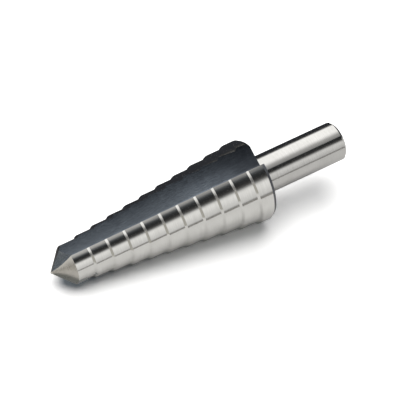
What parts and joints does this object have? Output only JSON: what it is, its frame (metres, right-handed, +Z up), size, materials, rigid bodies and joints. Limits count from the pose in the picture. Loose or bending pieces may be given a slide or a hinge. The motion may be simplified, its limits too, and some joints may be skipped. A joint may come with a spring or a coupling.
{
  "type": "step drill bit",
  "caption": "Stepped cone drill bit with chamfered risers, two straight flutes, a ground point and a plain round shank, for cutting holes in sheet metal.",
  "frame": {"origin": "centre of the underside of the resting drill's bounding box, on the surface it lies on", "axes": "+Z up, +X along the drill towards its shank, so the point faces -X; the drill's axis dips 5.42 degrees towards the point, because the tool lies on the edges of its lower flute"},
  "size_m": [0.0776, 0.0198, 0.0188],
  "materials": {
    "ground_steel": "bright ground steel with satin flutes"
  },
  "bodies": {
    "root": {"step_drill": "ground_steel"}
  },
  "joints": []
}
